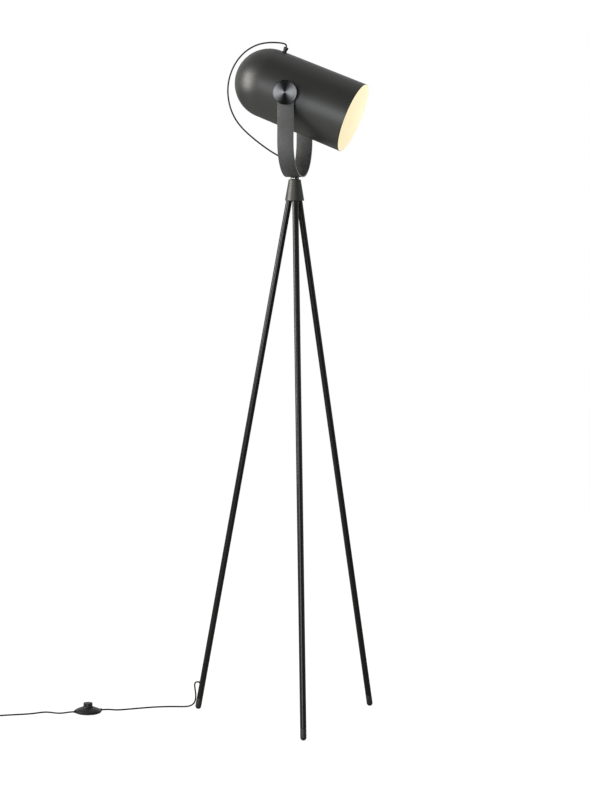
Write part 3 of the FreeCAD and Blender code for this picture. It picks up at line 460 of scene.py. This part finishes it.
LEG_HOLE, GROMMET_FACE, GROMMET_RUN = 55.5, 7.8, 7.2
RELIEF_END, RELIEF_HEIGHT, RELIEF_RUN = 33, 5.5, 14
relief_lamp = SWITCH @ Vector((RELIEF_END * MM, 0, RELIEF_HEIGHT * MM))
relief_plug = SWITCH @ Vector((-RELIEF_END * MM, 0, RELIEF_HEIGHT * MM))
lead("lamp_to_switch_lead", [
    by_left_leg(GROMMET_FACE, LEG_HOLE),
    by_left_leg(GROMMET_FACE + GROMMET_RUN, LEG_HOLE),
    beside_left_leg(242.2, 58.4),
    beside_left_leg(240.8, 46.6),
    beside_left_leg(238.6, 33.4),
    beside_left_leg(239.0, 20.0),
    beside_left_leg(244.6, 9.4),
    beside_tripod(-222.5, 127.5, 3.4),
    beside_tripod(-237.0, 133.4, LYING),
    beside_tripod(-256.0, 136.8, LYING),
    beside_tripod(-278.0, 137.4, LYING),
    beside_tripod(-301.0, 134.8, LYING),
    beside_tripod(-324.0, 129.2, LYING),
    beside_tripod(-347.0, 121.6, LYING),
    beside_tripod(-369.0, 114.6, LYING),
    beside_tripod(-384.0, 110.8, LYING),
    beside_tripod(-396.0, 107.6, 2.6),
    relief_lamp + TO_LAMP * RELIEF_RUN * MM,
    relief_lamp,
], "tripod", ["lead_to_switch"], length=0.287, far_end="fitting", lay="loose", stiffness="limp",
    with_pieces=["switch_base", "switch_cover", "switch_button"])

COIL_CENTRE = AXIS_FOOT + Vector((-708, 100, 0)) * MM
COIL_TURNS, COIL_STEP, COIL_OUTER = 10.25, 4.15, 32.0
COIL_ANGLE = 2 * math.pi * COIL_TURNS
COIL_INNER = COIL_OUTER - COIL_STEP * (COIL_ANGLE / 2 - math.pi / 4) / (2 * math.pi)


def coil_point(angle):
    """Middle of the wound lead after an angle of winding, clockwise seen from above."""
    past_middle = angle - COIL_ANGLE / 2
    if abs(past_middle) < math.pi / 2:
        wound = past_middle ** 2 / math.pi + math.pi / 4
        layer = (1 + math.sin(past_middle)) / 2
    else:
        wound = abs(past_middle)
        layer = 1 if past_middle > 0 else 0
    radius = COIL_INNER + COIL_STEP * (wound - math.pi / 4) / (2 * math.pi)
    turn = -math.pi / 2 - angle
    return COIL_CENTRE + Vector(
        (radius * math.cos(turn), radius * math.sin(turn), LYING + COIL_STEP * layer)) * MM


TURN_POINTS = 14
winding = [coil_point(2 * math.pi * index / TURN_POINTS)
           for index in range(int(COIL_TURNS * TURN_POINTS) + 1)]
winding.append(coil_point(COIL_ANGLE))
into_coil = (coil_point(0.001) - coil_point(0)).normalized()
out_of_coil = (coil_point(COIL_ANGLE) - coil_point(COIL_ANGLE - 0.001)).normalized()
COIL_ENDS = 3.6             # straight length of the wound lead at each end
PLUG_AXIS = 6.8             # height above the floor
coil_start = winding[0] - into_coil * COIL_ENDS * MM
coil_end = winding[-1] + out_of_coil * COIL_ENDS * MM
tail_turn = coil_end + Vector((2.5, 29.0, PLUG_AXIS - LYING - COIL_STEP)) * MM
tail_end = tail_turn + direction(80) * 9 * MM
lead("switch_to_plug_lead", [
    relief_plug,
    relief_plug - TO_LAMP * RELIEF_RUN * MM,
    beside_tripod(-516.0, 80.0, 3.0),
    beside_tripod(-529.0, 87.0, LYING),
    beside_tripod(-539.0, 95.0, LYING),
    beside_tripod(-552.0, 101.5, LYING),
    beside_tripod(-565.0, 98.5, LYING),
    beside_tripod(-579.0, 89.5, LYING),
    beside_tripod(-597.0, 83.0, LYING),
    beside_tripod(-618.0, 80.0, LYING),
    beside_tripod(-641.0, 76.0, LYING),
    beside_tripod(-663.0, 71.2, LYING),
    coil_start - into_coil * 18 * MM,
] + winding + [
    coil_end + out_of_coil * 9 * MM,
    coil_end + Vector((1.0, 19.0, 0.5)) * MM,
    tail_turn,
    tail_end,
], "tripod", ["lead_past_switch", "lead_coil", "lead_to_plug"], length=1.65, far_end="plug",
    lay="coiled", stiffness="limp", with_pieces=["plug_body", "plug_relief", "plug_pins"])


# ---------------------------------------------------------------- shade

OUTER, WALL, MOUTH = 78.0, 1.5, 79.5    # radius at the dome, wall, radius at the mouth
DOME_BACK, MOUTH_FRONT = 64.8, 143.3    # along the head's axis, from the tilt axis
BARREL = MOUTH_FRONT + DOME_BACK


def shade_profile():
    """From the back of the dome over the outside, round the rim and along the inside."""
    stations = (0.15, 0.4, 0.7, 0.985)

    def side(radius, parts):
        return [(radius + (MOUTH - OUTER) * t, -DOME_BACK + BARREL * t) for t in parts]

    return (quarter((0, -DOME_BACK), OUTER, -90, 0, 18)
            + side(OUTER, stations)
            + quarter((MOUTH - WALL / 2, MOUTH_FRONT - WALL / 2), WALL / 2, 10, 170, 6)
            + side(OUTER - WALL, reversed(stations))
            + quarter((0, -DOME_BACK), OUTER - WALL, 0, -90, 18))


def line_inside(shell):
    """Gives the faces nearer the axis than the middle of the wall the inside's white finish, whose
    glow is painted bulb light.
    """
    shell.data.materials.append(inside_white_with_painted_glow)
    to_head = HEAD.inverted()
    skin = open_skin(shell)
    for face in skin.faces:
        middle = to_head @ face.calc_center_median() / MM
        into_dome = max(-middle.z - DOME_BACK, 0.0)
        radius = math.hypot(math.hypot(middle.x, middle.y), into_dome)
        up_barrel = max(middle.z + DOME_BACK, 0) / BARREL
        middle_wall = OUTER - WALL / 2 + (MOUTH - OUTER) * up_barrel
        face.select_set(radius < middle_wall - 0.05)
    bmesh.update_edit_mesh(shell.data)
    shell.active_material_index = 1
    bpy.ops.object.material_slot_assign()
    bpy.ops.object.mode_set(mode="OBJECT")


line_inside(turned("shade_shell", HEAD, shade_profile(), "shade_paint", "head", ["shade"],
                   sides=128))


# ---------------------------------------------------------------- yoke

STRAP_WIDTH, ARM_CORNER = 37.0, 14.0
ARM_MIDDLE = 85.5                       # from the head's middle to the middle of an arm's wall
ARM_FACE = ARM_MIDDLE + STRAP_WALL / 2
ARM_END = 18.6                          # above the tilt axis
STRAP_UNDER, BEND_FLAT = 184.5, 12.0    # depth below the tilt axis, and flat seat there
BEND = ARM_MIDDLE - BEND_FLAT / 2
ARM_REACH = STRAP_UNDER - STRAP_WALL / 2 - BEND     # straight part below the tilt axis


def make_strap():
    """The strap is drawn out from one arm's end, round the bend and up the other arm."""
    deselect()
    stub = 30
    bpy.ops.mesh.primitive_cube_add(
        size=1, location=(0, -ARM_MIDDLE * MM, (ARM_END - stub / 2) * MM),
        scale=(STRAP_WIDTH * MM, STRAP_WALL * MM, stub * MM))
    strap = bpy.context.object
    strap.name = "yoke_band"
    bpy.ops.object.transform_apply(location=True, scale=True)
    bpy.ops.object.mode_set(mode="EDIT")
    skin = bmesh.from_edit_mesh(strap.data)
    lowest = min(vertex.co.z for vertex in skin.verts)
    bpy.ops.mesh.select_mode(type="FACE")
    for face in skin.faces:
        face.select_set(all(abs(vertex.co.z - lowest) < 1e-6 for vertex in face.verts))
    bmesh.update_edit_mesh(strap.data)

    def draw(distance, pieces=1):
        for _ in range(pieces):
            bpy.ops.mesh.extrude_region_move(
                TRANSFORM_OT_translate={"value": tuple(way * (distance / pieces) * MM)})

    def swing(centre, degrees, pieces):
        nonlocal way
        for _ in range(pieces):
            step = math.radians(degrees / pieces)
            bpy.ops.mesh.extrude_region_move(TRANSFORM_OT_translate={"value": (0, 0, 0)})
            skin = bmesh.from_edit_mesh(strap.data)
            turn = Matrix.Rotation(step, 3, "X")
            for vertex in [vertex for vertex in skin.verts if vertex.select]:
                vertex.co = centre + turn @ (vertex.co - centre)
            bmesh.update_edit_mesh(strap.data)
            way = turn @ way

    way = Vector((0, 0, -1))
    draw(ARM_REACH + ARM_END - stub, 4)
    swing(Vector((0, -BEND_FLAT / 2, -ARM_REACH)) * MM, 90, 18)
    draw(BEND_FLAT)
    swing(Vector((0, BEND_FLAT / 2, -ARM_REACH)) * MM, 90, 18)
    draw(ARM_REACH + ARM_END, 4)
    bpy.ops.object.mode_set(mode="OBJECT")
    clean_skin(strap)

    # The arms' outer corners are rounded, and then every sharp edge is broken.
    skin = open_skin(strap)
    bpy.ops.mesh.select_mode(type="EDGE")
    for edge in skin.edges:
        first, second = [vertex.co for vertex in edge.verts]
        at_end = min(first.z, second.z) > (ARM_END - 0.1) * MM
        edge.select_set(at_end and abs(first.x - second.x) < 1e-6)
    bmesh.update_edit_mesh(strap.data)
    bpy.ops.mesh.bevel(offset=ARM_CORNER * MM, segments=8)
    bpy.ops.object.mode_set(mode="OBJECT")
    rounding = strap.modifiers.new("edges", "BEVEL")
    rounding.width = 0.5 * MM
    rounding.segments = 2
    rounding.limit_method = "ANGLE"
    rounding.angle_limit = math.radians(50)
    bpy.ops.object.modifier_apply(modifier=rounding.name)
    strap.data.materials.append(FINISHES["strap_paint"])
    strap.data.materials.append(strap_edge_painted_highlight)
    # Faces turned along the strap's width, its narrow edges, take the lighter grey, which is
    # painted highlight.
    for face in strap.data.polygons:
        face.material_index = int(abs(face.normal.x) > 0.9)
    settle(strap, YOKE)
    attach(strap, "yoke")
    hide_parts("yoke_strap")


make_strap()


# ---------------------------------------------------------------- knobs

KNOB_SEAT = ARM_FACE + TURNING_GAP + 0.8    # outside the friction washer
KNOB_BACK, KNOB_FACE = KNOB_SEAT + TURNING_GAP, KNOB_SEAT + 7.0
for side in ("near", "far"):
    turned(f"knob_{side}_turned", SIDES[side], [
        (0, KNOB_FACE - 0.55), (0.5, KNOB_FACE - 0.50), (1.2, KNOB_FACE - 0.38),
        (8.0, KNOB_FACE - 0.26), (16.0, KNOB_FACE - 0.16), (24.6, KNOB_FACE - 0.05),
        (25.2, KNOB_FACE), (26.4, KNOB_FACE), (26.9, KNOB_FACE - 0.15), (27.25, KNOB_FACE - 0.6),
        (27.25, KNOB_BACK + 0.8), (26.6, KNOB_BACK + 0.1), (26.2, KNOB_BACK),
        (4.1, KNOB_BACK), (4.1, KNOB_BACK + 4.9), (0, KNOB_BACK + 4.9),
    ], "knob_metal", f"{side}_knob", [f"knob_{side}"], sides=96, smooth=30)


# ---------------------------------------------------------------- legs, feet and hub

def stand_flat(piece):
    """Flattens what would be below the floor."""
    skin = open_skin(piece)
    for vertex in skin.verts:
        vertex.co.z = max(vertex.co.z, 0)
    bmesh.update_edit_mesh(piece.data)
    bpy.ops.object.mode_set(mode="OBJECT")


LEG_RADIUS, LEG_BORE = 7.0, 5.8
LEG_END = 1192.0                        # height where a leg ends in the hub
LEG_TOP = (LEG_END - FOOT_CENTRE) / math.cos(LEAN)
for name, at in LEGS.items():
    turned(f"leg_tube_{name}", at,
           [(LEG_BORE, 19.4), (6.7, 19.1), (LEG_RADIUS, 19.4)]
           + [(LEG_RADIUS, height) for height in (60, 300, 600, 900, LEG_TOP)]
           + [(LEG_BORE, LEG_TOP)],
           "frame_paint", "tripod", [f"leg_{name}"], sides=40)
    stand_flat(turned(
        f"foot_cap_{name}_moulded", at,
        quarter((0, 0), FOOT_RADIUS, -90, 0, 10)
        + [(7.0, 17.9), (6.85, 18.5), (6.4, 18.9), (5.7, 19.0), (5.7, 37.0), (0, 37.0)],
        "foot_rubber", "tripod", [f"foot_cap_{name}"], sides=40))

turned("neck_collar_rounded", place(AXIS_FOOT + UP * (HUB_TOP * MM), direction(0), UP), [
    (5.1, 0), (9.0, 0), (9.5, 0.35), (9.75, 1.1), (9.75, 3.9), (9.5, 4.6), (8.9, 5.0), (5.1, 5.0),
    (5.1, 0)], "bright_steel", "tripod", ["neck_collar"])


# ---------------------------------------------------------------- cord grip

GLAND = place(in_head(-GLAND_BACK, 0), HEAD_AXIS, HEAD_UP)
turned("gland_body_rounded", GLAND, [
    (1.9, 73.05), (3.2, 73.05), (3.2, 78.15), (4.2, 78.15), (4.5, 78.5), (4.5, 82.8), (4.2, 83.13),
    (1.9, 83.13), (1.9, 73.05)], "black_plastic", "head", ["gland_body"], sides=40)
turned("gland_nut_faceted", GLAND, [
    (2.5, 83.15), (5.2, 83.15), (5.5, 83.5), (5.5, 87.9), (5.0, 88.7), (4.4, 89.1), (3.1, 89.14),
    (2.5, 88.2), (2.5, 83.15)], "black_plastic", "head", ["gland_nut"], sides=12, smooth=20)


# ---------------------------------------------------------------- foot switch

turned("switch_tray", SWITCH, [
    (0, 0), (24.6, 0), (25.5, 0.2), (28.6, 1.4), (30.0, 2.4), (30.9, 3.8), (31.0, 4.7),
    (30.9, 5.2), (30.5, 5.4), (29.0, 5.4), (29.0, 3.2), (25.5, 2.0), (0, 2.0),
], "black_plastic", "tripod", ["switch_base"])
turned("switch_lid", SWITCH, [
    (30.5, 5.6), (30.9, 5.9), (30.9, 6.3)]
    + bowed((30.2, 7.1), (13.9, 13.8), 1.0, 8)
    + [(13.1, 14.4), (12.8, 15.1), (12.4, 15.5), (11.2, 15.5), (10.8, 15.1), (10.8, 13.0),
       (20.0, 10.0), (28.0, 6.2), (29.0, 5.6), (30.5, 5.6)],
    "black_plastic", "tripod", ["switch_cover"])
turned("switch_push", SWITCH, [
    (0, 24.3), (8.4, 24.3), (8.7, 24.5), (9.3, 24.5), (9.9, 24.35), (10.35, 23.9), (10.5, 23.3),
    (10.5, 12.1), (11.9, 12.1), (11.9, 10.5), (8.5, 10.5), (8.5, 22.3), (0, 22.3),
], "black_plastic", "button", ["switch_button"], smooth=30)

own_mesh(frame["nodes"]["switch_spring"])


# ---------------------------------------------------------------- light and room

def lamp(name, where, aim, size, power, colour=(1, 1, 1)):
    data = bpy.data.lights.new(name, "AREA")
    data.shape = "RECTANGLE"
    data.size, data.size_y = size
    data.energy = power
    data.color = colour
    lit = bpy.data.objects.new(name, data)
    lit.location = where
    lit.rotation_euler = (Vector(aim) - Vector(where)).to_track_quat("-Z", "Y").to_euler()
    scene.collection.objects.link(lit)


lamp("left_softbox", (-2.5, -0.25, 1.75), (0, 0, 1.3), (1.3, 1.8), 250, (1.0, 0.97, 0.93))
lamp("front_softbox", (-1.5, -2.9, 1.0), (0, 0, 1.2), (1.8, 1.5), 160, (0.92, 0.96, 1.0))
lamp("right_softbox", (2.6, -0.9, 1.3), (0, 0, 1.0), (0.8, 2.0), 14)
lamp("top_softbox", (0.2, 0.6, 4.2), (0, 0, 0.6), (1.8, 1.8), 8)


def make_studio():
    """A white room: at full to the camera and in reflections, dimmed as a light."""
    world = bpy.data.worlds.new("studio")
    scene.world = world
    world.use_nodes = True
    tree = world.node_tree
    sky = tree.nodes["Background"]
    sky.inputs["Color"].default_value = (1, 1, 1, 1)
    ray = node(tree, "LightPath").outputs
    through = maths(tree, "MAXIMUM", ray["Is Glossy Ray"], ray["Is Transmission Ray"])
    bright = maths(tree, "MAXIMUM", ray["Is Camera Ray"], through)
    as_light = 0.26
    level = maths(tree, "MULTIPLY_ADD", bright, 1 - as_light, as_light)
    tree.links.new(level, sky.inputs["Strength"])


def lay_floor():
    """White paper just under the feet, which the camera sees nearly as bright as the room."""
    bpy.ops.object.select_all(action="DESELECT")
    bpy.ops.mesh.primitive_circle_add(vertices=64, radius=9, fill_type="NGON",
                                      location=(0, 0, -0.0005))
    floor = bpy.context.object
    floor.name = "floor"
    paper = new_finish("white_floor", (0.60, 0.60, 0.60), 0.9, specular=0.1)
    tree = paper.node_tree
    shader = tree.nodes["Principled BSDF"]
    ray = node(tree, "LightPath").outputs
    glow = node(tree, "Emission", {"Color": (1, 1, 1, 1), "Strength": 1.08})
    blend = node(tree, "MixShader", {0: 0.0, 1: shader.outputs[0], 2: glow.outputs[0]})
    seen = maths(tree, "MULTIPLY", ray["Is Camera Ray"], 0.91)
    tree.links.new(seen, blend.inputs[0])
    tree.links.new(blend.outputs[0], tree.nodes["Material Output"].inputs["Surface"])
    floor.data.materials.append(paper)


make_studio()
lay_floor()
